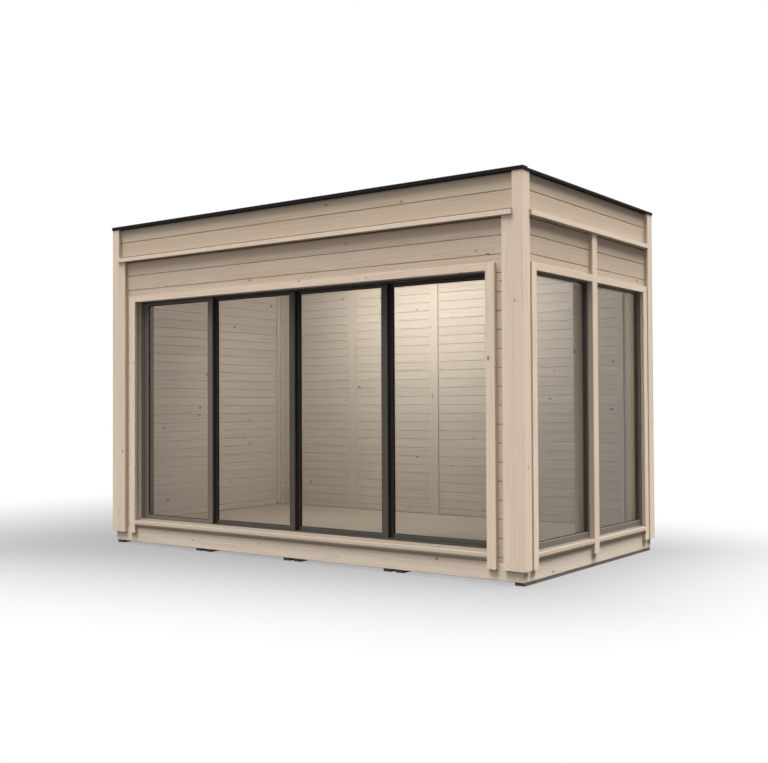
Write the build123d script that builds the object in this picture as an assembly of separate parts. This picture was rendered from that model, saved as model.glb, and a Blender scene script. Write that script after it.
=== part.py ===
import os

from build123d import *

# Outline of the garden room over its corner posts, and its full height
post_to_post_width = 4310
post_to_post_depth = 2300
overall_height = 2912

# Wall build up
trim_thickness = 28
wall_thickness = 169

# Heights above the ground, from the skids up to the floor
skid_height = 24
casing_foot = 103
post_foot = 104
base_top = 154
floor_top = 202

# Heights of the bands under the roof, from the top down
capping_height = 28
roof_board_band = 268
rail_height = 35
header_band = 379
ceiling_drop = 39
head_casing_height = 55

# Skids under the base
skid_width = 73
end_skid_width = 79
skid_pair_gap = 36
skid_pitch = 1010
skid_setback = 12

# Trim boards
corner_board_width = 86
corner_side_width = 100
clad_strip_width = 60
door_casing_width = 74
window_casing_width = 70
mullion_width = 86
rail_proud = 18

# Roof
capping_overhang = 6
capping_inset = 70
capping_upstand = 18
capping_front_step = 8

# Sills
sill_nose_bottom = 180
sill_nose_top = 217
sill_slope = 0.2
sill_rebate_top = 212

# Sliding glass wall
door_setback = 80
panel_count = 4
panel_pitch = 916
panel_overlap = 18
panel_clearance = 6
track_running_gap = 0.3
panel_floor_gap = 3
panel_thickness = 22
panel_spacing = 29
panel_front_gap = 4
panel_stile = 54
panel_foot_rail = 34
panel_head_rail = 16
panel_glass_thickness = 10
panel_glass_bite = 8
jamb_width = 38
track_base_height = 18
track_rib_height = 8
track_rib_width = 6
head_track_height = 12
guide_groove_width = 10
guide_groove_depth = 7
guide_fin_width = 6
guide_fin_reach = 5
foot_channel_width = 10

# Side windows, set behind a lip of the wall that hides most of their frame
window_setback = 44
window_rebate = 30
mullion_core_width = 28
window_frame_depth = 60
window_frame_face = 42
window_foot_face = 60
window_glass_thickness = 24
window_glass_bite = 14

# Planes that the pieces share
capping_bottom = overall_height - capping_height
rail_top = capping_bottom - roof_board_band
rail_bottom = rail_top - rail_height
ceiling_height = rail_bottom - ceiling_drop
head_height = rail_bottom - header_band
casing_top = head_height + head_casing_height
face_x = post_to_post_width / 2
face_y = post_to_post_depth / 2
clad_x = face_x - trim_thickness
clad_y = face_y - trim_thickness
inner_x = clad_x - wall_thickness
inner_y = clad_y - wall_thickness
door_half = face_x - 2 * corner_board_width - clad_strip_width - door_casing_width
window_end = inner_y
mullion_half = mullion_width / 2
mullion_core = mullion_core_width / 2
window_front = face_x - window_setback
window_outer = window_end + window_rebate
window_head = head_height + window_rebate
frame_front_y = face_y - door_setback
overrun = trim_thickness


def slab(x_range, y_range, z_range):
    size = [high - low for low, high in (x_range, y_range, z_range)]
    low_corner = (x_range[0], y_range[0], z_range[0])
    return Pos(*low_corner) * Box(*size, align=(Align.MIN, Align.MIN, Align.MIN))


def span(half):
    return (-half, half)


def write(name, shape):
    shape.label = name
    export_step(shape, os.path.join("parts", name + ".step"))


# Base: one timber floor cassette, with the finished floor set inside the walls
def floor_cassette():
    cassette = slab(span(clad_x), span(clad_y), (skid_height, base_top))
    deck = slab(span(inner_x), span(inner_y), (base_top, floor_top))
    return cassette + deck


# Skids run front to back: one at each end and a pair under each module line
def skid_ranges():
    pair_half = skid_width + skid_pair_gap / 2
    ranges = [(-clad_x, -clad_x + end_skid_width)]
    for line in (-skid_pitch, 0, skid_pitch):
        ranges.append((line - pair_half, line - skid_pair_gap / 2))
        ranges.append((line + skid_pair_gap / 2, line + pair_half))
    ranges.append((clad_x - end_skid_width, clad_x))
    return ranges


# Walls: the left and back walls each turn the corner as far as the next opening
def wall_pieces():
    height = (base_top, rail_top)
    over = (head_height, rail_top)
    right_wall = (inner_x, clad_x)
    lip = (window_front, clad_x)
    pocket = (inner_x, window_front)
    pocket_height = (sill_rebate_top, window_head)
    front_wall = (-clad_y, -inner_y)
    left = slab((-clad_x, -inner_x), span(clad_y), height)
    left += slab((-inner_x, -door_half), front_wall, height)
    back = slab((-inner_x, clad_x), (inner_y, clad_y), height)
    back -= slab(pocket, (window_end, window_outer), pocket_height)
    pier = slab((door_half, clad_x), front_wall, height)
    pier -= slab(pocket, (-window_outer, -window_end), pocket_height)
    header = slab(right_wall, span(window_end), over)
    header -= slab(pocket, span(window_end), (head_height, window_head))
    mullion = slab(pocket, span(mullion_core), (base_top, window_head))
    mullion += slab(lip, span(mullion_half), (base_top, head_height))
    return {
        "left_wall": left,
        "back_wall": back,
        "corner_pier": pier,
        "door_header": slab(span(door_half), front_wall, over),
        "window_header": header,
        "mullion_post": mullion,
    }


# Corner post: an angle of two boards to the roof, and a second front board that stops under the rail
def corner_post():
    full = (post_foot, capping_bottom)
    board_start = face_x - corner_board_width
    front_leg = slab((board_start, face_x), (-face_y, -clad_y), full)
    side_leg = slab((clad_x, face_x), (-face_y, corner_side_width - face_y), full)
    second = slab((board_start - corner_board_width, board_start), (-face_y, -clad_y), (post_foot, rail_bottom))
    return front_leg + side_leg + second


# Casings around the door and the side windows, all standing proud of the cladding
def casing_pieces():
    front = (-face_y, -clad_y)
    side = (clad_x, face_x)
    upright = (casing_foot, casing_top)
    head = (head_height, casing_top)
    door_edge = door_half + door_casing_width
    window_edge = window_end + window_casing_width
    return {
        "door_casing_left": slab((-door_edge, -door_half), front, upright),
        "door_casing_right": slab((door_half, door_edge), front, upright),
        "door_casing_head": slab(span(door_half), front, head),
        "window_casing_near": slab(side, (-window_edge, -window_end), upright),
        "window_casing_far": slab(side, (window_end, window_edge), upright),
        "window_head_near": slab(side, (-window_end, -mullion_half), head),
        "window_head_far": slab(side, (mullion_half, window_end), head),
        "mullion_cover": slab(side, span(mullion_half), (casing_foot, rail_bottom)),
    }


# Rails under the roof boards, let in between the corner posts
def rail_pieces():
    height = (rail_bottom, rail_top)
    long_run = span(face_x - corner_board_width)
    short_run = span(face_y - corner_side_width)
    return {
        "front_rail": slab(long_run, (-face_y - rail_proud, -clad_y), height),
        "back_rail": slab(long_run, (clad_y, face_y + rail_proud), height),
        "left_rail": slab((-face_x - rail_proud, -clad_x), short_run, height),
        "right_rail": slab((clad_x, face_x + rail_proud), short_run, height),
    }


# Roof: a stepped cassette that carries the ceiling, under a shallow black tray
def roof_cassette():
    ceiling = slab(span(inner_x), span(inner_y), (ceiling_height, rail_top))
    body = slab(span(clad_x), span(clad_y), (rail_top, capping_bottom))
    return ceiling + body


def roof_capping():
    outer_x = face_x + capping_overhang
    outer_y = face_y + capping_overhang
    front_strip = (-outer_y, -outer_y + capping_inset)
    tray = slab(span(outer_x), span(outer_y), (capping_bottom, overall_height - capping_front_step))
    tray += slab(span(outer_x), front_strip, (capping_bottom, overall_height))
    well_height = (overall_height - capping_upstand, overall_height + overrun)
    return tray - slab(span(outer_x - capping_inset), span(outer_y - capping_inset), well_height)


# Sill section, drawn from the wall face inwards: bevelled foot, nose, weathered top and frame rebate
def sill_section(setback):
    back = trim_thickness + wall_thickness
    corners = [
        (trim_thickness, base_top),
        (0, sill_nose_bottom),
        (0, sill_nose_top),
        (setback, sill_nose_top + setback * sill_slope),
        (setback, sill_rebate_top),
        (back, sill_rebate_top),
        (back, base_top),
    ]
    return make_face(Polyline(*corners, close=True))


def sill(setback, length):
    return extrude(Plane.YZ * sill_section(setback), amount=length)


def door_sill():
    return Pos(-door_half, -face_y, 0) * sill(door_setback, 2 * door_half)


def window_sill(side):
    start, end = sorted((side * mullion_core, side * window_end))
    shape = Pos(face_x, start, 0) * Rot(0, 0, 90) * sill(window_setback, end - start)
    behind_cover = sorted((side * mullion_core, side * mullion_half))
    return shape - slab((window_front, face_x), behind_cover, (base_top, head_height))


# Sliding glass wall: a frame with one rail and one guide groove for each panel
clear_half = door_half - jamb_width
frame_y = (-frame_front_y, -inner_y)
track_top = sill_rebate_top + track_base_height
rib_top = track_top + track_rib_height
head_track_bottom = head_height - head_track_height
panel_bottom = track_top + panel_floor_gap
panel_top = head_track_bottom - panel_clearance


def panel_front(number):
    return panel_front_gap - frame_front_y + (number - 1) * panel_spacing


def panel_middle(number):
    return panel_front(number) + panel_thickness / 2


def bottom_track():
    track = slab(span(clear_half), frame_y, (sill_rebate_top, track_top))
    for number in range(1, panel_count + 1):
        middle = panel_middle(number)
        rib_y = (middle - track_rib_width / 2, middle + track_rib_width / 2)
        track += slab(span(clear_half), rib_y, (track_top, rib_top))
    return track


def head_track():
    track = slab(span(door_half), frame_y, (head_track_bottom, head_height))
    groove_z = (head_track_bottom - overrun, head_track_bottom + guide_groove_depth)
    for number in range(1, panel_count + 1):
        middle = panel_middle(number)
        groove_y = (middle - guide_groove_width / 2, middle + guide_groove_width / 2)
        track -= slab(span(clear_half), groove_y, groove_z)
    return track


def door_jamb(side):
    edges = sorted((side * clear_half, side * door_half))
    return slab(edges, frame_y, (sill_rebate_top, head_track_bottom))


# The fixed first panel meets its jamb, and each sliding one laps the panel before it
def panel_ends(number):
    right = clear_half - panel_clearance - (panel_count - number) * panel_pitch
    left = right - panel_pitch - panel_overlap
    if number == 1:
        left = -clear_half
    return left, right


def glazed_frame(x_range, y_range, z_range, faces, glass_thickness, bite):
    stile, foot, head = faces
    sight_x = (x_range[0] + stile, x_range[1] - stile)
    sight_z = (z_range[0] + foot, z_range[1] - head)
    through_y = (y_range[0] - overrun, y_range[1] + overrun)
    middle = (y_range[0] + y_range[1]) / 2
    pane_x = (sight_x[0] - bite, sight_x[1] + bite)
    pane_z = (sight_z[0] - bite, sight_z[1] + bite)
    pane_y = (middle - glass_thickness / 2, middle + glass_thickness / 2)
    pane = slab(pane_x, pane_y, pane_z)
    frame = slab(x_range, y_range, z_range) - slab(sight_x, through_y, sight_z) - pane
    return frame, pane


# A channel in the foot of each panel straddles its rail, and a fin on top runs in the guide groove
def door_panel(number):
    front = panel_front(number)
    middle = panel_middle(number)
    ends = panel_ends(number)
    faces = (panel_stile, panel_foot_rail, panel_head_rail)
    frame, pane = glazed_frame(
        ends,
        (front, front + panel_thickness),
        (panel_bottom, panel_top),
        faces,
        panel_glass_thickness,
        panel_glass_bite,
    )
    fin_y = (middle - guide_fin_width / 2, middle + guide_fin_width / 2)
    frame += slab(ends, fin_y, (panel_top, head_track_bottom + guide_fin_reach))
    channel_y = (middle - foot_channel_width / 2, middle + foot_channel_width / 2)
    frame -= slab(ends, channel_y, (panel_bottom, rib_top + track_running_gap))
    return frame, pane


# Fixed side windows, drawn flat like a panel and turned to face the right
def side_window(start, end):
    faces = (window_frame_face, window_foot_face, window_frame_face)
    pieces = glazed_frame(
        (start, end),
        (0, window_frame_depth),
        (sill_rebate_top, window_head),
        faces,
        window_glass_thickness,
        window_glass_bite,
    )
    return [Pos(window_front, 0, 0) * Rot(0, 0, 90) * piece for piece in pieces]


os.makedirs("parts", exist_ok=True)

write("floor_cassette", floor_cassette())
for index, skid_x in enumerate(skid_ranges(), start=1):
    write(f"skid_{index}", slab(skid_x, span(clad_y - skid_setback), (0, skid_height)))

for pieces in (wall_pieces(), casing_pieces(), rail_pieces()):
    for name, shape in pieces.items():
        write(name, shape)

front_right = corner_post()
front_left = mirror(front_right, about=Plane.YZ)
write("corner_post_front_right", front_right)
write("corner_post_front_left", front_left)
write("corner_post_back_right", mirror(front_right, about=Plane.XZ))
write("corner_post_back_left", mirror(front_left, about=Plane.XZ))

write("roof_cassette", roof_cassette())
write("roof_capping", roof_capping())

write("door_sill", door_sill())
write("window_sill_near", window_sill(-1))
write("window_sill_far", window_sill(1))

write("bottom_track", bottom_track())
write("head_track", head_track())
write("door_jamb_left", door_jamb(-1))
write("door_jamb_right", door_jamb(1))
for number in range(1, panel_count + 1):
    frame, pane = door_panel(number)
    write(f"door_panel_{number}_frame", frame)
    write(f"door_panel_{number}_glass", pane)

for place, ends in {"near": (-window_outer, -mullion_core), "far": (mullion_core, window_outer)}.items():
    frame, pane = side_window(*ends)
    write(f"window_{place}_frame", frame)
    write(f"window_{place}_glass", pane)
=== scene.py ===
import math
import random
import bpy
import bmesh
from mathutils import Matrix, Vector


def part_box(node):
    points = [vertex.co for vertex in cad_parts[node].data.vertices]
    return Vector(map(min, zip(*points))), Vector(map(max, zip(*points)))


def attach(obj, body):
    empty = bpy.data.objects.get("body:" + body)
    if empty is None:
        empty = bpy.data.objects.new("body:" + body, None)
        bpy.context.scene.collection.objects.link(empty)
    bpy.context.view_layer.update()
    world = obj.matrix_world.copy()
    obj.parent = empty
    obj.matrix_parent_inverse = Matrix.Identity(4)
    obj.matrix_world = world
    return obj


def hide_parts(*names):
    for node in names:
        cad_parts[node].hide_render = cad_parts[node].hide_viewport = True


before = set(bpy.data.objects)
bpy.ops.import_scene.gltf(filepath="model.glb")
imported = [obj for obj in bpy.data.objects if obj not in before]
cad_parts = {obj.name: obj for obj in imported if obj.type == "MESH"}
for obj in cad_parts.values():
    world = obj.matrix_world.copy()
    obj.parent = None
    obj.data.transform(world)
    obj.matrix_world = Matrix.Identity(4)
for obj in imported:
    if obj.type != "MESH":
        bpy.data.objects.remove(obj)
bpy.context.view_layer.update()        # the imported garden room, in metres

scene = bpy.context.scene
scene.view_settings.view_transform = "Standard"
print("frame loaded:", len(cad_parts), "nodes")


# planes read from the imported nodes
def nodeBox(name):
    low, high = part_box(name)
    return Vector(low), Vector(high)


headerLow, headerHigh = nodeBox("door_header")
sideLow, sideHigh = nodeBox("window_header")
postLow, postHigh = nodeBox("corner_post_front_right")
railLow, railHigh = nodeBox("front_rail")
baseLow, baseHigh = nodeBox("floor_cassette")
roofLow, roofHigh = nodeBox("roof_cassette")
capLow, capHigh = nodeBox("roof_capping")
sashLow, sashHigh = nodeBox("window_far_frame")
cladX, cladY = sideHigh.x, -headerLow.y       # outer face of the cladding
innerX, innerY = sideLow.x, -headerHigh.y     # inner face of the panelling
faceX, faceY = postHigh.x, -postLow.y         # face of the corner posts and casings
doorHalf, windowEnd = headerHigh.x, sideHigh.y
headZ, wallTop = headerLow.z, headerHigh.z
baseTop, floorTop = nodeBox("left_wall")[0].z, baseHigh.z
ceilingZ, roofTop = roofLow.z, roofHigh.z
mullionHalf = nodeBox("mullion_post")[1].y
sashBack, sashFront = sashLow.x, sashHigh.x
pocketY, pocketZ = sashHigh.y, sashHigh.z     # the wall pocket that takes the window frames
sliver = 0.001                                # hidden pieces stop this far from each other


# materials
def linear(hexText):
    parts = [int(hexText[i:i + 2], 16) / 255 for i in (1, 3, 5)]
    return [p / 12.92 if p <= 0.04045 else ((p + 0.055) / 1.055) ** 2.4 for p in parts] + [1.0]


def addNode(tree, kind, settings=None, links=None):
    node = tree.nodes.new("ShaderNode" + kind)
    for key, value in (settings or {}).items():
        if isinstance(key, str) and hasattr(node, key):
            setattr(node, key, value)
        else:
            node.inputs[key].default_value = value
    for key, source in (links or {}).items():
        tree.links.new(source, node.inputs[key])
    return node


def startMaterial(name, settings):
    material = bpy.data.materials.new(name)
    material.use_nodes = True
    tree = material.node_tree
    tree.nodes.clear()
    shader = addNode(tree, "BsdfPrincipled", settings)
    addNode(tree, "OutputMaterial", None, {"Surface": shader.outputs["BSDF"]})
    return material, tree, shader


ringAtOne = 0.31416      # metres from ring to ring where the wave's scale is 1


# Planed spruce: pale early wood, thin tan late wood lines, a few small tight knots, matt and slightly warm
def makeSpruce(look):
    material, tree, shader = startMaterial(look["name"], {"IOR": 1.45})
    grain = addNode(tree, "Attribute", {"attribute_name": "grain"}).outputs["Vector"]   # metres, x along the board
    tone = addNode(tree, "Attribute", {"attribute_name": "tone"}).outputs["Fac"]        # one value a board

    # knots: one cell about 0.8 m long and a board wide, some of them empty
    cell = Vector((1 / look["knotRun"], 1 / look["knotBand"], 0.0))
    oval = Vector((look["knotRun"] * look["knotLong"], look["knotBand"], 0.0))
    flat = addNode(tree, "VectorMath", {"operation": "MULTIPLY", 1: cell}, {0: grain}).outputs[0]
    cells = addNode(tree, "TexVoronoi", {"voronoi_dimensions": "2D", "Scale": 1.0}, {"Vector": flat})
    away = addNode(tree, "VectorMath", {"operation": "SUBTRACT"}, {0: flat, 1: cells.outputs["Position"]})
    metres = addNode(tree, "VectorMath", {"operation": "MULTIPLY", 1: oval}, {0: away.outputs[0]})
    reach = addNode(tree, "VectorMath", {"operation": "LENGTH"}, {0: metres.outputs[0]}).outputs["Value"]
    lot = addNode(tree, "SeparateColor", None, {"Color": cells.outputs["Color"]})
    radius = addNode(tree, "MapRange", {"From Min": look["knotFree"], "To Max": look["knotRadius"]},
                     {"Value": lot.outputs["Red"]})
    edge = addNode(tree, "Math", {"operation": "SUBTRACT"}, {0: radius.outputs["Result"], 1: reach}).outputs[0]
    rim, core = look["knotEdge"]
    knot = addNode(tree, "MapRange", {"interpolation_type": "SMOOTHSTEP", "From Min": rim, "From Max": core},
                   {"Value": edge}).outputs["Result"]
    around, bulge = look["swell"]
    swell = addNode(tree, "MapRange", {"interpolation_type": "SMOOTHSTEP", "From Min": -around, "From Max": 0.0,
                                       "To Max": bulge}, {"Value": edge})

    # growth rings round a pith line behind the face, wandering along the board and swelling round the knots
    drift = look["wander"]
    slow = addNode(tree, "VectorMath", {"operation": "MULTIPLY", 1: look["wandersPerMetre"]}, {0: grain})
    wander = addNode(tree, "TexNoise", {"Scale": 1.0, "Detail": 2.0}, {"Vector": slow.outputs[0]})
    shift = addNode(tree, "VectorMath", {"operation": "MULTIPLY_ADD", 1: (0.0, drift, drift),
                                         2: (0.0, -drift / 2, -drift / 2)}, {0: wander.outputs["Color"]})
    push = addNode(tree, "CombineXYZ", None, {"Z": swell.outputs["Result"]})
    bent = addNode(tree, "VectorMath", {"operation": "ADD"}, {0: grain, 1: shift.outputs[0]})
    pushed = addNode(tree, "VectorMath", {"operation": "ADD"}, {0: bent.outputs[0], 1: push.outputs[0]})
    rings = addNode(tree, "TexWave", {"wave_type": "RINGS", "rings_direction": "X", "wave_profile": "SAW",
                                      "Scale": ringAtOne / look["ring"]},         # one wave is one growth ring
                    {"Vector": pushed.outputs[0]})
    late = addNode(tree, "ValToRGB", None, {"Fac": rings.outputs["Fac"]})
    stops = late.color_ramp.elements
    stops[0].color, stops[1].color = (0, 0, 0, 1), (0.25, 0.25, 0.25, 1)
    for place, level in ((0.5, 0.12), (0.9, 1.0)):       # early wood, then a narrow late wood line
        stop = stops.new(place)
        stop.color = (level, level, level, 1)

    # fibre: short streaks about 1.5 mm wide, and broad pale clouds
    thin = addNode(tree, "VectorMath", {"operation": "MULTIPLY", 1: look["fibresPerMetre"]}, {0: grain})
    fibre = addNode(tree, "TexNoise", {"Scale": 1.0, "Detail": 3.0}, {"Vector": thin.outputs[0]}).outputs["Fac"]
    broad = addNode(tree, "VectorMath", {"operation": "MULTIPLY", 1: look["cloudsPerMetre"]}, {0: grain})
    cloud = addNode(tree, "TexNoise", {"Scale": 1.0, "Detail": 2.0}, {"Vector": broad.outputs[0]}).outputs["Fac"]

    # colours, from the whole board down to the knots
    board = addNode(tree, "Mix", {"data_type": "RGBA", 6: linear(look["early"]), 7: linear(look["flush"])}, {0: tone})
    cloudy = addNode(tree, "MapRange", {"From Min": 0.3, "From Max": 0.7, "To Max": look["cloudShare"]},
                     {"Value": cloud})
    shaded = addNode(tree, "Mix", {"data_type": "RGBA", 7: linear(look["shade"])},
                     {0: cloudy.outputs["Result"], 6: board.outputs[2]})
    lateShare = addNode(tree, "Math", {"operation": "MULTIPLY", 1: look["lateShare"]}, {0: late.outputs["Color"]})
    ringed = addNode(tree, "Mix", {"data_type": "RGBA", 7: linear(look["late"])},
                     {0: lateShare.outputs[0], 6: shaded.outputs[2]})
    streak = addNode(tree, "MapRange", {"From Min": 0.35, "From Max": 0.75, "To Max": look["fibreShare"]},
                     {"Value": fibre})
    streaked = addNode(tree, "Mix", {"data_type": "RGBA", 7: linear(look["late"])},
                       {0: streak.outputs["Result"], 6: ringed.outputs[2]})
    knotted = addNode(tree, "Mix", {"data_type": "RGBA", 7: linear(look["knot"])}, {0: knot, 6: streaked.outputs[2]})

    # painted shade: faces that look up are darkened towards a grey, so that the strong light from above doesn't
    # brighten them
    facing = addNode(tree, "SeparateXYZ", None, {0: addNode(tree, "NewGeometry").outputs["True Normal"]})
    topShadeMask = addNode(tree, "MapRange", {"To Max": look["topShadeShare"]}, {"Value": facing.outputs["Z"]})
    topShadedColour = addNode(tree, "Mix", {"data_type": "RGBA", "blend_type": "MULTIPLY", 7: linear(look["topShadeColour"])},
                     {0: topShadeMask.outputs["Result"], 6: knotted.outputs[2]})
    tree.links.new(topShadedColour.outputs[2], shader.inputs["Base Color"])

    rough = addNode(tree, "MapRange", {"To Min": look["roughness"], "To Max": look["roughness"] - look["sheen"]},
                    {"Value": late.outputs["Color"]})    # late wood is a little smoother
    tree.links.new(rough.outputs["Result"], shader.inputs["Roughness"])
    height = addNode(tree, "Math", {"operation": "MULTIPLY_ADD", 1: 0.5}, {0: fibre, 2: late.outputs["Color"]})
    bump = addNode(tree, "Bump", {"Strength": 0.25, "Distance": look["relief"]}, {"Height": height.outputs[0]})
    tree.links.new(bump.outputs["Normal"], shader.inputs["Normal"])
    return material


# rings are drawn at 9 mm, about twice the real 4 mm, so that they show in the picture
# the grey mixed into the faces that look up, and its share, are painted shade against the light from above
spruce = {"name": "planed_spruce", "early": "#DCCBB7", "flush": "#D3BDA7", "shade": "#CDB8A2", "late": "#BFA58A",
          "knot": "#9C7F63", "topShadeColour": "#4B4744", "ring": 0.009, "lateShare": 0.35,
          "wander": 0.04, "wandersPerMetre": (0.8, 5.0, 5.0), "fibresPerMetre": (9.0, 650.0, 650.0),
          "fibreShare": 0.22, "cloudsPerMetre": (1.3, 16.0, 16.0), "cloudShare": 0.35,
          "knotRun": 0.8, "knotBand": 0.14, "knotLong": 0.55, "knotFree": 0.45, "knotRadius": 0.011,
          "knotEdge": (-0.004, 0.005), "swell": (0.03, 0.012),
          "roughness": 0.68, "sheen": 0.12, "relief": 0.0005, "topShadeShare": 0.55}
# drawn darker than the trim: partly the boards' own tone, partly painted shade for the shade that falls on the
# boarding
cladSpruce = makeSpruce(dict(spruce, name="spruce_cladding", early="#CEBDA9", flush="#C4B09A", shade="#BDA993",
                             late="#B0977D"))
trimSpruce = makeSpruce(dict(spruce, name="spruce_trim", early="#E3D3C0", flush="#DBC8B3", lateShare=0.22))
panelSpruce = makeSpruce(dict(spruce, name="spruce_panelling", early="#DACFC4", flush="#D2C6B9", shade="#CCBFB1",
                              late="#BBAA99", lateShare=0.4, topShadeShare=0.0))
floorSpruce = makeSpruce(dict(spruce, name="whitewashed_floor", early="#D6CBBD", flush="#CCBFAF", late="#B9A996",
                              knot="#97826C", roughness=0.5, topShadeShare=0.14))
# paler copy, painted light: lifts the plinth out of the shade under the sill noses
litPlinthSpruce = makeSpruce(dict(spruce, name="spruce_plinth_painted_light", early="#E7D9C8", flush="#DFCDBA", shade="#D8C5B0",
                               late="#C6AD93"))
# darker copy with more of the grey on its top, painted shade: keeps the sills from glowing under the light from above
shadedSillSpruce = makeSpruce(dict(spruce, name="sill_spruce_painted_shade", early="#CDBDAA", flush="#C4B19C", shade="#BBA995",
                             late="#AE9981", topShadeShare=0.72))
coreTimber = makeSpruce(dict(spruce, name="frame_timber", early="#7C6650", flush="#705A45", shade="#665240",
                             late="#5A4634"))
skidTimber = makeSpruce(dict(spruce, name="tarred_bearer", early="#6F665C", flush="#655C52", shade="#5C5349",
                             late="#4B433A", knot="#2E2822", roughness=0.75))


# Powder coated aluminium: dark bronze, satin, with the fine orange peel of a baked coat
def makeCoat(name, colour, roughness, peel, depth, shine=0.5):
    material, tree, shader = startMaterial(name, {"Base Color": linear(colour), "IOR": 1.5,
                                                  "Specular IOR Level": shine})
    place = addNode(tree, "TexCoord").outputs["Object"]
    grit = addNode(tree, "TexNoise", {"Scale": 1 / peel, "Detail": 2.0}, {"Vector": place})
    smudge = addNode(tree, "TexNoise", {"Scale": 2.5, "Detail": 3.0}, {"Vector": place})     # handled over 0.4 m
    rough = addNode(tree, "MapRange", {"From Min": 0.3, "From Max": 0.7, "To Min": roughness - 0.05,
                                       "To Max": roughness + 0.07}, {"Value": smudge.outputs["Fac"]})
    tree.links.new(rough.outputs["Result"], shader.inputs["Roughness"])
    bump = addNode(tree, "Bump", {"Strength": 0.3, "Distance": depth}, {"Height": grit.outputs["Fac"]})
    tree.links.new(bump.outputs["Normal"], shader.inputs["Normal"])
    return material


coatedAluminium = makeCoat("coated_aluminium", "#48423A", 0.42, 0.0015, 0.0001)
litAluminium = makeCoat("coated_aluminium_painted_light", "#6B6258", 0.42, 0.0015, 0.0001)     # paler copy, painted light: on the window frames, the first door panel, the jambs and the window flashing
shadedStileCoat = makeCoat("stile_painted_shade", "#292521", 0.5, 0.0015, 0.0001, 0.3)          # darker copy, painted shade: on the recessed stiles where panels meet
coatedSheet = makeCoat("coated_roof_sheet", "#0E0F10", 0.6, 0.002, 0.0001, 0.2)
rubberSeal = makeCoat("rubber_seal", "#0A0A0B", 0.8, 0.001, 0.0001, 0.2)
roofFelt = makeCoat("mineral_roof_felt", "#2B2C2E", 0.9, 0.0025, 0.0008)                   # 2 mm slate granules

# Float glass: clear, faintly grey, mirror smooth, with a very slow ripple
floatGlass, glassTree, glassShader = startMaterial("float_glass", {"Base Color": linear("#E3E7E6"), "Roughness": 0.0,
                                                                   "IOR": 1.42, "Transmission Weight": 1.0})
ripple = addNode(glassTree, "TexNoise", {"Scale": 3.0, "Detail": 1.0},
                 {"Vector": addNode(glassTree, "TexCoord").outputs["Object"]})
glassBump = addNode(glassTree, "Bump", {"Strength": 0.02, "Distance": 0.0005}, {"Height": ripple.outputs["Fac"]})
glassTree.links.new(glassBump.outputs["Normal"], glassShader.inputs["Normal"])
print("materials made")

# pieces are gathered in one mesh each; every board keeps its own grain and tone
timber = {"tone": (0.5, 0.24), "slide": 60, "pithBehind": (0.02, 0.1), "ease": 0.002}


def startPiece(name, seed):
    mesh = bmesh.new()
    return {"name": name, "mesh": mesh, "grain": mesh.loops.layers.float_vector.new("grain"),
            "tone": mesh.loops.layers.float.new("tone"), "dice": random.Random(seed), "materials": []}


def boardLook(piece, width):
    dice = piece["dice"]
    tone = min(max(dice.gauss(*timber["tone"]), 0.0), 1.0)
    slide, pithAcross = dice.uniform(0, timber["slide"]), dice.uniform(-0.5, 0.5) * width
    return tone, slide, pithAcross, dice.choice((-1, 1)) * dice.uniform(*timber["pithBehind"])


def skinRings(piece, material, rings, run, across, low, middle, look):
    if material not in piece["materials"]:
        piece["materials"].append(material)
    mesh, through = piece["mesh"], 3 - run - across
    verts = [[mesh.verts.new(point) for point in ring] for ring in rings]
    count = len(rings[0])
    loops = [(first[i], first[(i + 1) % count], second[(i + 1) % count], second[i])
             for first, second in zip(verts, verts[1:]) for i in range(count)]
    tone, slide, pithAcross, pithThrough = look
    for corners in loops + [verts[0][::-1], verts[-1]]:
        face = mesh.faces.new(corners)
        face.material_index = piece["materials"].index(material)
        for loop in face.loops:
            point = loop.vert.co
            loop[piece["tone"]] = tone
            loop[piece["grain"]] = (point[run] - low[run] + slide, point[across] - middle[across] + pithAcross,
                                    point[through] - middle[through] + pithThrough)


# one planed board: eased long edges and ends, with the edges on the sides named in square left sharp
def addBoard(piece, material, low, high, run, ease=timber["ease"], square=(), look=None):
    low, high = Vector(low), Vector(high)
    middle = (low + high) / 2
    a, b = [axis for axis in range(3) if axis != run]
    across = a if high[a] - low[a] > high[b] - low[b] else b
    look = look or boardLook(piece, high[across] - low[across])
    section = []
    for signA, signB in ((-1, -1), (1, -1), (1, 1), (-1, 1)):
        cornerA, cornerB = (high if signA > 0 else low)[a], (high if signB > 0 else low)[b]
        if (a, signA) in square or (b, signB) in square or ease == 0:
            section.append((cornerA, cornerB))
            continue
        pair = [(cornerA, cornerB - signB * ease), (cornerA - signA * ease, cornerB)]
        section += pair if signA == signB else pair[::-1]
    rings = []
    for place, inset in ((low[run], ease), (low[run] + ease, 0), (high[run] - ease, 0), (high[run], ease)):
        ring = []
        for pointA, pointB in section:
            point = Vector()
            point[run] = place
            point[a] = middle[a] + (pointA - middle[a]) * (1 - 2 * inset / (high[a] - low[a]))
            point[b] = middle[b] + (pointB - middle[b]) * (1 - 2 * inset / (high[b] - low[b]))
            ring.append(point)
        rings.append(ring)
    skinRings(piece, material, rings if ease else [rings[0], rings[3]], run, across, low, middle, look)
    return look


# a section drawn in the two other axes and run straight
def addSection(piece, material, section, run, start, end):
    a, b = [axis for axis in range(3) if axis != run]
    rings = []
    for place in (start, end):
        ring = []
        for pointA, pointB in section:
            point = Vector()
            point[run], point[a], point[b] = place, pointA, pointB
            ring.append(point)
        rings.append(ring)
    middle = sum(rings[0], Vector()) / len(section)
    skinRings(piece, material, rings, run, a, rings[0][0], middle, boardLook(piece, 0.1))


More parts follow.
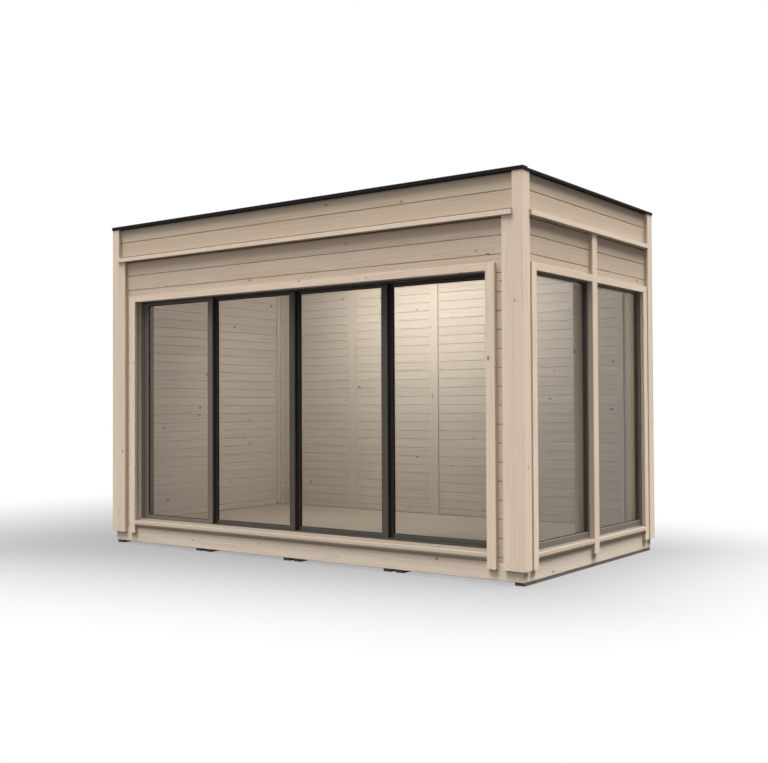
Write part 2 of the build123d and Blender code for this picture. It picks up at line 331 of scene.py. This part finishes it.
def finishPiece(piece, body, slot, *nodes):
    mesh = bpy.data.meshes.new(piece["name"])
    bmesh.ops.recalc_face_normals(piece["mesh"], faces=piece["mesh"].faces)
    piece["mesh"].to_mesh(mesh)
    piece["mesh"].free()
    for material in piece["materials"]:
        mesh.materials.append(material)
    made = bpy.data.objects.new(piece["name"], mesh)
    scene.collection.objects.link(made)
    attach(made, body)
    if nodes:
        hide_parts(*nodes)


def courses(low, high, joint, cover):
    edge = joint - math.ceil((joint - low) / cover) * cover
    while edge < high - sliver:
        start, end = max(edge, low), min(edge + cover, high)
        if end - start > 4 * sliver:         # a thinner strip would split
            yield start, end
        edge += cover


# outer boarding: 133 mm cover, V joints, one course line just above the door casing
cladding = {"cover": 0.133, "joint": 2.316, "thick": 0.016, "ease": 0.0036, "gap": 0.0006, "vent": 0.010}


def cladRun(piece, fixed, outward, run, start, end, low, high, **more):
    thick, gap = cladding["thick"], cladding["gap"]
    lowCorner, highCorner = Vector((0, 0, low + gap)), Vector((0, 0, high - gap))
    across = 1 - run
    lowCorner[run], highCorner[run] = start, end
    lowCorner[across], highCorner[across] = sorted((fixed, fixed - outward * thick))
    return addBoard(piece, cladSpruce, lowCorner, highCorner, run, cladding["ease"], **more)


def cladWall(piece, fixed, outward, run, reach, opening):
    vent = railLow.z - cladding["vent"]      # the boards end at a dark gap under the rails
    for low, high in courses(baseTop, vent, cladding["joint"], cladding["cover"]):
        if opening is None or low >= headZ:
            cladRun(piece, fixed, outward, run, -reach, reach, low, high)
            continue
        notched = high > headZ               # the course over the opening is one board, notched at its head
        if notched:
            look = cladRun(piece, fixed, outward, run, -reach, reach, headZ, high, square=((2, -1),))
        for start, end in ((-reach, -opening), (opening, reach)):
            if notched:
                cladRun(piece, fixed, outward, run, start, end, low, headZ, square=((2, 1),), look=look)
            else:
                cladRun(piece, fixed, outward, run, start, end, low, high)


sideReach = cladY - cladding["thick"]
frontBoards = startPiece("front_boards", 11)
cladWall(frontBoards, -cladY, -1, 0, cladX, doorHalf)
finishPiece(frontBoards, "house", "cladding_wood", "door_header", "corner_pier")
rightBoards = startPiece("right_boards", 12)
cladWall(rightBoards, cladX, 1, 1, sideReach, windowEnd)
finishPiece(rightBoards, "house", "cladding_wood", "window_header")
leftBoards = startPiece("left_boards", 13)
cladWall(leftBoards, -cladX, -1, 1, sideReach, None)
finishPiece(leftBoards, "house", "cladding_wood", "left_wall")
backBoards = startPiece("back_boards", 14)
cladWall(backBoards, cladY, 1, 0, cladX, None)
finishPiece(backBoards, "house", "cladding_wood", "back_wall")

# frame timber behind the boards, and the linings that show in the openings
lining = {"thick": 0.018, "panel": 0.012, "lip": 0.010, "ease": 0.001, "lipEase": 0.0005}
core = startPiece("wall_frame", 15)
fx, fy = cladX - cladding["thick"] - sliver, cladY - cladding["thick"] - sliver
ix, iy = innerX + lining["panel"] + sliver, innerY + lining["panel"] + sliver
edge = doorHalf + lining["thick"]
for low, high, run in (
    ((-fx, -fy, baseTop), (-ix, fy, wallTop), 2),                              # left
    ((-ix, iy, baseTop), (ix, fy, wallTop), 2),                                # back
    ((ix, pocketY, baseTop), (fx, fy, wallTop), 2),                            # back right corner
    ((-ix, -fy, baseTop), (-edge, -iy, wallTop), 2),                           # beside the door
    ((edge, -fy, baseTop), (ix, -iy, wallTop), 2),
    ((ix, -fy, baseTop), (fx, -pocketY, wallTop), 2),                          # front right corner
    ((-edge, -fy, headZ + lining["thick"]), (edge, -iy, wallTop), 0),          # over the door
    ((ix, -iy, pocketZ), (fx, iy, wallTop), 1),                                # over the windows
):
    addBoard(core, coreTimber, low, high, run, 0)
finishPiece(core, "house", "cladding_wood")

linings = startPiece("opening_linings", 16)
for sign in (-1, 1):
    doorX, pocket = sorted((sign * doorHalf, sign * edge)), sorted((sign * windowEnd, sign * pocketY))
    lipY = sorted((sign * windowEnd, sign * (windowEnd + lining["lip"])))
    addBoard(linings, trimSpruce, (doorX[0], -cladY, baseTop), (doorX[1], -innerY, headZ), 2, lining["ease"])
    addBoard(linings, trimSpruce, (innerX, pocket[0], baseTop), (sashBack, pocket[1], pocketZ), 2, lining["ease"])
    addBoard(linings, trimSpruce, (sashFront, lipY[0], baseTop), (cladX, lipY[1], headZ), 2, lining["lipEase"])
addBoard(linings, trimSpruce, (-edge, -cladY + cladding["thick"], headZ), (edge, -innerY, headZ + lining["thick"]),
         0, lining["ease"])
addBoard(linings, trimSpruce, (innerX, -windowEnd, headZ), (sashBack, windowEnd, pocketZ), 1, lining["ease"])
finishPiece(linings, "house", "trim_wood")
mullionPost = startPiece("window_post", 17)
coreHalf = sashLow.y
addBoard(mullionPost, trimSpruce, (innerX, -coreHalf, baseTop), (sashFront, coreHalf, pocketZ), 2, lining["ease"])
addBoard(mullionPost, trimSpruce, (sashFront, -mullionHalf, baseTop), (cladX, mullionHalf, headZ), 2, lining["ease"])
finishPiece(mullionPost, "house", "cladding_wood", "mullion_post")
print("outer walls boarded")

# inner panelling: 83 mm cover, with battens over the module lines and in the corners
panelling = {"cover": 0.083, "joint": 2.0, "ease": 0.0036, "gap": 0.0006, "battenLines": (-0.973, 0.029, 1.031),
             "batten": 0.095, "battenThick": 0.014, "cornerBatten": 0.045}


def panelWall(piece, fixed, outward, run, start, end, low, high):
    across = 1 - run
    for bottom, top in courses(low, high, panelling["joint"], panelling["cover"]):
        lowCorner, highCorner = Vector((0, 0, bottom + panelling["gap"])), Vector((0, 0, top - panelling["gap"]))
        lowCorner[run], highCorner[run] = start, end
        lowCorner[across], highCorner[across] = sorted((fixed, fixed + outward * lining["panel"]))
        addBoard(piece, panelSpruce, lowCorner, highCorner, run, panelling["ease"])


panels = startPiece("inner_panelling", 21)
panelWall(panels, innerY, 1, 0, -innerX, innerX, floorTop, ceilingZ)
panelWall(panels, -innerX, -1, 1, -innerY, innerY, floorTop, ceilingZ)
panelWall(panels, -innerY, -1, 0, -innerX, innerX, headZ + lining["thick"], ceilingZ)
panelWall(panels, innerX, 1, 1, -innerY, innerY, pocketZ, ceilingZ)
for sign in (-1, 1):
    panelWall(panels, -innerY, -1, 0, *sorted((sign * edge, sign * innerX)), floorTop, headZ)
finishPiece(panels, "house", "cladding_wood")

battens = startPiece("inner_battens", 22)
half, corner = panelling["batten"] / 2, panelling["cornerBatten"]
proudY, proudX = innerY - panelling["battenThick"], -innerX + panelling["battenThick"]
for line in panelling["battenLines"]:
    addBoard(battens, panelSpruce, (line - half, proudY, floorTop), (line + half, innerY, ceilingZ), 2)
for sign in (-1, 1):
    backX = sorted((sign * innerX, sign * (innerX - corner)))
    addBoard(battens, panelSpruce, (backX[0], proudY, floorTop), (backX[1], innerY, ceilingZ), 2)
addBoard(battens, panelSpruce, (-innerX, proudY - corner, floorTop), (proudX, proudY, ceilingZ), 2)
addBoard(battens, panelSpruce, (-innerX, -innerY, floorTop), (proudX, -innerY + corner, ceilingZ), 2)
finishPiece(battens, "house", "trim_wood")

# base: plinth boards round a frame, with whitewashed floor planks
flooring = {"cover": 0.14, "thick": 0.02, "gap": 0.0004, "endGap": 0.0003, "ease": 0.0012, "cutReach": 1.2,
            "plinth": 0.028, "plinthEase": 0.003}
base = startPiece("base_and_floor", 31)
plinth, plankLow = flooring["plinth"], floorTop - flooring["thick"]
for sign in (-1, 1):
    frontY, sideX = sorted((sign * cladY, sign * (cladY - plinth))), sorted((sign * cladX, sign * (cladX - plinth)))
    addBoard(base, litPlinthSpruce, (-cladX, frontY[0], baseLow.z), (cladX, frontY[1], baseTop),
             0, flooring["plinthEase"])
    addBoard(base, litPlinthSpruce, (sideX[0], -cladY + plinth, baseLow.z), (sideX[1], cladY - plinth, baseTop),
             1, flooring["plinthEase"])
addBoard(base, coreTimber, (-cladX + plinth, -cladY + plinth, baseLow.z + flooring["plinthEase"]),
         (cladX - plinth, cladY - plinth, plankLow - sliver), 0, 0)
row = -innerY
while row < innerY - sliver:
    rowEnd = min(row + flooring["cover"], innerY)
    cut = base["dice"].uniform(-flooring["cutReach"], flooring["cutReach"])      # each row is cut at its own place
    for start, end in ((-innerX, cut), (cut, innerX)):
        addBoard(base, floorSpruce, (start + flooring["endGap"], row + flooring["gap"], plankLow),
                 (end - flooring["endGap"], rowEnd - flooring["gap"], floorTop), 0, flooring["ease"])
    row = rowEnd
finishPiece(base, "house", "floor_wood", "floor_cassette")

skids = {"count": 8, "ease": 0.003}
for index in range(1, skids["count"] + 1):
    name = f"skid_{index}"
    skid = startPiece(name + "_bearer", 40 + index)
    addBoard(skid, skidTimber, *nodeBox(name), 1, skids["ease"])
    finishPiece(skid, "house", "skid_timber", name)
print("base and floor laid")

# trim boards, each standing for its own node: the axis it runs along, then the side on the wall
trims = {"ease": 0.0012, "boards": {
    "door_casing_left": (2, 1, 1), "door_casing_right": (2, 1, 1), "door_casing_head": (0, 1, 1),
    "window_casing_near": (2, 0, -1), "window_casing_far": (2, 0, -1), "window_head_near": (1, 0, -1),
    "window_head_far": (1, 0, -1), "mullion_cover": (2, 0, -1), "front_rail": (0, 1, 1), "back_rail": (0, 1, -1),
    "left_rail": (1, 0, 1), "right_rail": (1, 0, -1)}}
for index, (name, (run, *wallSide)) in enumerate(trims["boards"].items()):
    trim = startPiece(name + "_board", 50 + index)
    addBoard(trim, trimSpruce, *nodeBox(name), run, trims["ease"], (tuple(wallSide),))
    finishPiece(trim, "house", "trim_wood", name)

# corner posts: a board to the roof, a second that stops under the rail, and a leg round the corner
sideDepth = postHigh.y + faceY
for index, name in enumerate(("front_right", "front_left", "back_right", "back_left")):
    sx, sy = (-1 if "left" in name else 1), (-1 if "front" in name else 1)
    post = startPiece("corner_" + name, 70 + index)
    outerX, secondX = sorted((sx * railHigh.x, sx * faceX)), sorted((sx * postLow.x, sx * railHigh.x))
    frontY = sorted((sy * cladY, sy * faceY))
    legX, legY = sorted((sx * cladX, sx * faceX)), sorted((sy * (faceY - sideDepth), sy * cladY))
    onFront, onSide = ((1, -sy),), ((0, -sx), (1, sy))
    for acrossX, acrossY, top, square in ((outerX, frontY, postHigh.z, onFront),
                                          (secondX, frontY, railLow.z, onFront), (legX, legY, postHigh.z, onSide)):
        addBoard(post, trimSpruce, (acrossX[0], acrossY[0], postLow.z), (acrossX[1], acrossY[1], top),
                 2, trims["ease"], square)
    finishPiece(post, "house", "trim_wood", "corner_post_" + name)

# sills: rounded nose over a bevelled foot, sloped top, a rebate for the frame and a flashing at the windows
sillCut = {"noseBottom": 0.180, "noseTop": 0.217, "slope": 0.2, "rebate": 0.212, "foot": 0.028,
           "door": 0.080, "window": 0.044, "round": 0.006, "flashing": (0.020, 0.0016)}


def sillSection(face, inward, setback):
    cut, r = sillCut, sillCut["round"]
    low, top, back = cut["noseBottom"], cut["noseTop"], faceY - innerY
    profile = [(cut["foot"], baseTop),
               (r, low - r * 0.9), (r * 0.4, low + r * 0.1), (0, low + r * 1.3),                # lower rounding
               (0, top - r), (r * 0.35, top - r * 0.25), (r, top + r * cut["slope"]),           # upper rounding
               (setback, top + setback * cut["slope"]), (setback, cut["rebate"]),
               (back, cut["rebate"]), (back, baseTop)]
    return [(face + inward * depth, z) for depth, z in profile]


def flashingSection(face, inward, setback):
    front, sheet = sillCut["flashing"]
    profile = []
    for depth, rise in ((front, 0), (setback, 0), (setback, sheet), (front + sheet, sheet)):
        profile.append((face + inward * depth, sillCut["noseTop"] + depth * sillCut["slope"] + rise))
    return profile


sillPiece = startPiece("door_sill_board", 81)
addSection(sillPiece, shadedSillSpruce, sillSection(-faceY, 1, sillCut["door"]), 0, -doorHalf, doorHalf)
finishPiece(sillPiece, "house", "trim_wood", "door_sill")
for index, (name, sign) in enumerate((("window_sill_near", -1), ("window_sill_far", 1))):
    ends = sorted((sign * mullionHalf, sign * windowEnd))
    sillPiece = startPiece(name + "_board", 82 + index)
    addSection(sillPiece, shadedSillSpruce, sillSection(faceX, -1, sillCut["window"]), 1, *ends)
    addSection(sillPiece, litAluminium, flashingSection(faceX, -1, sillCut["window"]), 1, *ends)
    finishPiece(sillPiece, "house", "trim_wood", name)
print("trim and sills fitted")

# roof: two boards round the cassette over a drip gap, and a panelled ceiling
roofing = {"thick": 0.021, "joint": 2.762, "gap": 0.0008, "drip": 0.012,
           "ceilingCover": 0.096, "ceilingGap": 0.0005, "ceilingEase": 0.003}
roof = startPiece("roof_boards", 91)
thick, jointZ = roofing["thick"], roofing["joint"]
for bottom, top in ((railHigh.z + roofing["drip"], jointZ), (jointZ, roofTop)):
    z0, z1 = bottom + roofing["gap"], top - roofing["gap"]
    for sign in (-1, 1):
        frontY, sideX = sorted((sign * cladY, sign * (cladY - thick))), sorted((sign * cladX, sign * (cladX - thick)))
        addBoard(roof, cladSpruce, (-cladX, frontY[0], z0), (cladX, frontY[1], z1), 0, cladding["ease"])
        addBoard(roof, cladSpruce, (sideX[0], -cladY + thick, z0), (sideX[1], cladY - thick, z1), 1, cladding["ease"])
coreX, coreY = cladX - thick - sliver, cladY - thick - sliver
addBoard(roof, coreTimber, (-coreX, -coreY, wallTop), (coreX, coreY, roofTop), 0, 0)
addBoard(roof, coreTimber, (-innerX, -innerY, ceilingZ + lining["panel"] + sliver), (innerX, innerY, wallTop), 0, 0)
row = -innerY
while row < innerY - sliver:
    rowEnd = min(row + roofing["ceilingCover"], innerY)
    addBoard(roof, panelSpruce, (-innerX, row + roofing["ceilingGap"], ceilingZ),
             (innerX, rowEnd - roofing["ceilingGap"], ceilingZ + lining["panel"]), 0, roofing["ceilingEase"])
    row = rowEnd
finishPiece(roof, "house", "cladding_wood", "roof_cassette")

# covering: sheet edge, higher at the front, round felt strips of which every second one laps its neighbours
covering = {"edge": 0.070, "step": 0.008, "sheetEase": 0.002, "well": 0.018, "strip": 1.0, "lap": 0.08, "felt": 0.004,
            "feltLift": 0.003, "feltEase": 0.0015}
capping = startPiece("roof_edge_and_felt", 92)
rim, sideTop, sheetEase = covering["edge"], capHigh.z - covering["step"], covering["sheetEase"]
wellLow, wellHigh = Vector((capLow.x + rim, capLow.y + rim)), Vector((capHigh.x - rim, capHigh.y - rim))
addBoard(capping, coatedSheet, capLow, (capHigh.x, wellLow.y, capHigh.z), 0, sheetEase)
addBoard(capping, coatedSheet, (capLow.x, wellHigh.y, capLow.z), (capHigh.x, capHigh.y, sideTop), 0, sheetEase)
for sign in (-1, 1):
    sideX = sorted((sign * capHigh.x, sign * (capHigh.x - rim)))
    addBoard(capping, coatedSheet, (sideX[0], wellLow.y, capLow.z), (sideX[1], wellHigh.y, sideTop), 1, sheetEase)
wellTop = capHigh.z - covering["well"]
feltLow = wellTop - covering["felt"]
addBoard(capping, roofFelt, (*wellLow, capLow.z), (*wellHigh, feltLow), 0, 0)
strips = math.ceil((wellHigh.x - wellLow.x) / covering["strip"])
width = (wellHigh.x - wellLow.x) / strips
for index in range(strips):
    lap, lift = (covering["lap"], covering["feltLift"]) if index % 2 else (0.0, 0.0)
    start = wellLow.x + index * width
    begin, end = max(start - lap, wellLow.x), min(start + width + lap, wellHigh.x)
    addBoard(capping, roofFelt, (begin, wellLow.y, feltLow), (end, wellHigh.y, wellTop + lift),
             1, covering["feltEase"])
finishPiece(capping, "house", "roof_sheet", "roof_capping")
print("roof closed")

# glazed frames: stiles, rails, rubber seals on both faces of the pane, and a pile seal on the sliding stiles
glazing = {"panel": {"stile": 0.054, "foot": 0.034, "head": 0.016, "pane": 0.010, "ease": 0.0012, "seal": 0.005,
                     "fin": (0.006, 0.011), "channel": (0.010, 0.0053)},
           "window": {"stile": 0.042, "foot": 0.060, "head": 0.042, "pane": 0.024, "ease": 0.0015, "seal": 0.003},
           "guideEase": 0.0005, "sealDeep": 0.003, "sealEase": 0.0008, "pile": (0.006, 0.005), "pileInset": 0.006}


def glazedFrame(node, run, kind, body, seed, pile=False, stileShade=None):
    cut, seal = glazing[kind], glazing[kind]["seal"]
    metal = litAluminium if body == "house" else coatedAluminium      # pieces fixed to the house get the paler copy: painted light
    low, high = nodeBox(node)
    through = 1 - run
    piece = startPiece(node.replace("_frame", "_sash"), seed)
    finWide, finHigh = cut.get("fin", (0, 0))
    slotWide, slotHigh = cut.get("channel", (0, 0))
    start, end, bottom, top = low[run], high[run], low.z + slotHigh, high.z - finHigh
    left, right = start + cut["stile"], end - cut["stile"]               # the glass in sight
    foot, head = low.z + cut["foot"], top - cut["head"]
    near, far = low[through], high[through]
    middle = (near + far) / 2

    def member(material, spanRun, spanUp, spanThrough, lie, ease, square=()):
        lowCorner, highCorner = Vector((0, 0, spanUp[0])), Vector((0, 0, spanUp[1]))
        lowCorner[run], highCorner[run] = spanRun
        lowCorner[through], highCorner[through] = spanThrough
        addBoard(piece, material, lowCorner, highCorner, lie, ease, square)

    # the first stile of panels 2 to 4 may take the darker copy: painted shade in the recess
    member(stileShade or metal, (start, left), (bottom, top), (near, far), 2, cut["ease"])
    member(metal, (right, end), (bottom, top), (near, far), 2, cut["ease"])
    member(metal, (left, right), (bottom, foot), (near, far), run, cut["ease"], ((2, -1),))
    member(metal, (left, right), (head, top), (near, far), run, cut["ease"], ((2, 1),))
    if finHigh:                              # the fin runs in the head track, the two lips straddle the rail
        ease = glazing["guideEase"]
        member(metal, (start, end), (top, high.z), (middle - finWide / 2, middle + finWide / 2), run, ease)
        member(metal, (start, end), (low.z, bottom), (near, middle - slotWide / 2), run, ease)
        member(metal, (start, end), (low.z, bottom), (middle + slotWide / 2, far), run, ease)
    for sign in (-1, 1):
        deep = sorted((middle + sign * cut["pane"] / 2, middle + sign * (cut["pane"] / 2 + glazing["sealDeep"])))
        ease = glazing["sealEase"]
        member(rubberSeal, (left, left + seal), (foot, head), deep, 2, ease)
        member(rubberSeal, (right - seal, right), (foot, head), deep, 2, ease)
        member(rubberSeal, (left + seal, right - seal), (foot, foot + seal), deep, run, ease)
        member(rubberSeal, (left + seal, right - seal), (head - seal, head), deep, run, ease)
    if pile:
        pileWide, pileDeep = glazing["pile"]
        pileEnd = end - glazing["pileInset"]
        member(rubberSeal, (pileEnd - pileWide, pileEnd), (bottom, top), (far, far + pileDeep),
               2, glazing["guideEase"])
    finishPiece(piece, body, "dark_aluminium", node)


for number in range(1, 5):
    body, stileShade = ("house", None) if number == 1 else (f"door_panel_{number}", shadedStileCoat)
    glazedFrame(f"door_panel_{number}_frame", 0, "panel", body, 100 + number, number < 4, stileShade)
glazedFrame("window_near_frame", 1, "window", "house", 111)
glazedFrame("window_far_frame", 1, "window", "house", 112)

# the jambs take the paler copy: painted light
finishes = {"bottom_track": coatedAluminium, "head_track": coatedAluminium,
            "door_jamb_left": litAluminium, "door_jamb_right": litAluminium}
for name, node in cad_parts.items():    # tracks, jambs and panes stay as packed
    if name in finishes or name.endswith("_glass"):
        node.data.materials.clear()
        node.data.materials.append(finishes.get(name, floatGlass))
print("glazing fitted")

# stage floor: plain and pale, shaded near the walls and white further out
studioFloor = {"size": 60, "paint": "#444444", "bounce": "#2C2C2C", "lift": (0.39, 1.0), "fade": (-0.4, 3.0),
               "tilt": 0.26, "mirror": 0.45}
size = studioFloor["size"]
floorMesh = bpy.data.meshes.new("studio_floor")
floorMesh.from_pydata([(-size, -size, 0), (size, -size, 0), (size, size, 0), (-size, size, 0)], [], [(0, 1, 2, 3)])
floor = bpy.data.objects.new("studio_floor", floorMesh)
scene.collection.objects.link(floor)
floorPaint, floorTree, floorShader = startMaterial("studio_floor_paint", {"Roughness": 0.9, "Specular IOR Level": 0.1})
floorPath = addNode(floorTree, "LightPath")
cameraRay, glossyRay = floorPath.outputs["Is Camera Ray"], floorPath.outputs["Is Glossy Ray"]
paint = addNode(floorTree, "Mix", {"data_type": "RGBA", 6: linear(studioFloor["bounce"]),
                                   7: linear(studioFloor["paint"])}, {0: cameraRay})
floorTree.links.new(paint.outputs[2], floorShader.inputs["Base Color"])
spot = addNode(floorTree, "TexCoord").outputs["Object"]
mirrored = addNode(floorTree, "VectorMath", {"operation": "ABSOLUTE"}, {0: spot})
beyond = addNode(floorTree, "VectorMath", {"operation": "SUBTRACT", 1: (faceX, faceY, 0.0)}, {0: mirrored.outputs[0]})
outside = addNode(floorTree, "VectorMath", {"operation": "MAXIMUM", 1: (0.0, 0.0, 0.0)}, {0: beyond.outputs[0]})
away = addNode(floorTree, "VectorMath", {"operation": "LENGTH"}, {0: outside.outputs[0]})     # metres from the walls
spotX = addNode(floorTree, "SeparateXYZ", None, {0: spot}).outputs["X"]
reach = addNode(floorTree, "Math", {"operation": "MULTIPLY_ADD", 1: studioFloor["tilt"]},
                {0: spotX, 2: away.outputs["Value"]})                # deeper shade on the left
lift = addNode(floorTree, "MapRange", {"interpolation_type": "SMOOTHSTEP",
                                       "From Min": studioFloor["fade"][0], "From Max": studioFloor["fade"][1],
                                       "To Min": studioFloor["lift"][0], "To Max": studioFloor["lift"][1]},
               {"Value": reach.outputs["Value"]})
share = addNode(floorTree, "Math", {"operation": "MULTIPLY"}, {0: lift.outputs["Result"], 1: cameraRay})
shareAll = addNode(floorTree, "Math", {"operation": "MAXIMUM"}, {0: share.outputs[0], 1: glossyRay})
shine = addNode(floorTree, "Mix", {2: 1.0, 3: studioFloor["mirror"]}, {0: glossyRay})
glow = addNode(floorTree, "Emission", {"Color": (1, 1, 1, 1)}, {"Strength": shine.outputs[0]})
floorMix = addNode(floorTree, "MixShader", None, {0: shareAll.outputs[0], 1: floorShader.outputs[0],
                                                  2: glow.outputs[0]})
floorOutput = next(n for n in floorTree.nodes if n.type == "OUTPUT_MATERIAL")
floorTree.links.new(floorMix.outputs[0], floorOutput.inputs["Surface"])
floorMesh.materials.append(floorPaint)

# surroundings: white to the eye, a soft dome to the wood, brighter overhead and to the left
studioSky = {"dome": (0.60, 0.90), "lean": 0.70, "mirror": 0.45}
world = bpy.data.worlds.new("studio_world")
scene.world = world
world.use_nodes = True
skyTree = world.node_tree
skyTree.nodes.clear()
path = addNode(skyTree, "LightPath")
upward = addNode(skyTree, "SeparateXYZ", None, {0: addNode(skyTree, "TexCoord").outputs["Generated"]})
dome = addNode(skyTree, "MapRange", {"To Min": studioSky["dome"][0], "To Max": studioSky["dome"][1]},
               {"Value": upward.outputs["Z"]})
lean = addNode(skyTree, "Math", {"operation": "MULTIPLY_ADD", 1: -studioSky["lean"], 2: 1.0},
               {0: upward.outputs["X"]})
soft = addNode(skyTree, "Math", {"operation": "MULTIPLY"}, {0: dome.outputs["Result"], 1: lean.outputs[0]})
seen = addNode(skyTree, "Math", {"operation": "MAXIMUM"}, {0: path.outputs["Is Camera Ray"],
                                                           1: path.outputs["Is Glossy Ray"]})
seenAll = addNode(skyTree, "Math", {"operation": "MAXIMUM"}, {0: seen.outputs[0],
                                                              1: path.outputs["Is Transmission Ray"]})
direct = addNode(skyTree, "Math", {"operation": "LESS_THAN", 1: 0.5}, {0: path.outputs["Diffuse Depth"]})
backdrop = addNode(skyTree, "Math", {"operation": "MULTIPLY"}, {0: seenAll.outputs[0], 1: direct.outputs[0]})
shown = addNode(skyTree, "Mix", {2: 1.0, 3: studioSky["mirror"]}, {0: path.outputs["Is Glossy Ray"]})
level = addNode(skyTree, "Mix", None, {0: backdrop.outputs[0], 2: soft.outputs[0], 3: shown.outputs[0]})
sky = addNode(skyTree, "Background", {"Color": (1, 1, 1, 1)}, {"Strength": level.outputs[0]})
addNode(skyTree, "OutputWorld", None, {"Surface": sky.outputs["Background"]})

# lamps: two wide soft keys, each high over one wall, and two lamps in the room; they light the wood but are not seen
lamps = {
    "frontKey": ("SUN", (-0.5, -0.7, 2.5), (0, 0, 0), 5.0, "#FFFFFF", {"angle": math.radians(40)}),
    "sideKey": ("SUN", (0.7, 0.5, 2.5), (0, 0, 0), 8.1, "#FFFFFF", {"angle": math.radians(40)}),
    "room_lamp": ("AREA", (0.3, -0.6, 2.35), (-1.95, -0.75, 1.1), 13.0, "#FFFDFA", {"shape": "DISK", "size": 0.6}),
    "wall_lamp": ("AREA", (0.15, -0.02, 2.50), (0.15, 0.95, 1.8), 42.0, "#FFFBF5",
                  {"shape": "RECTANGLE", "size": 2.0, "size_y": 0.5})}
for name, (kind, place, target, power, colour, shape) in lamps.items():
    lamp = bpy.data.lights.new(name, kind)
    lamp.energy, lamp.color = power, linear(colour)[:3]
    for key, value in shape.items():
        setattr(lamp, key, value)
    made = bpy.data.objects.new(name, lamp)
    made.location = place
    made.rotation_euler = (Vector(target) - Vector(place)).to_track_quat("-Z", "Y").to_euler()
    made.visible_camera = made.visible_transmission = False
    scene.collection.objects.link(made)

view = {"place": (5.6927, -7.6123, 1.2671), "turn": (91.1922, 0.2696, 36.2115), "sensor": 36.0, "lens": 49.81}
camera = bpy.data.objects.new("camera", bpy.data.cameras.new("camera"))
camera.data.sensor_width, camera.data.lens = view["sensor"], view["lens"]
camera.data.sensor_fit = "HORIZONTAL"
camera.location = view["place"]
camera.rotation_euler = [math.radians(angle) for angle in view["turn"]]
scene.collection.objects.link(camera)
scene.camera = camera
print("stage set")
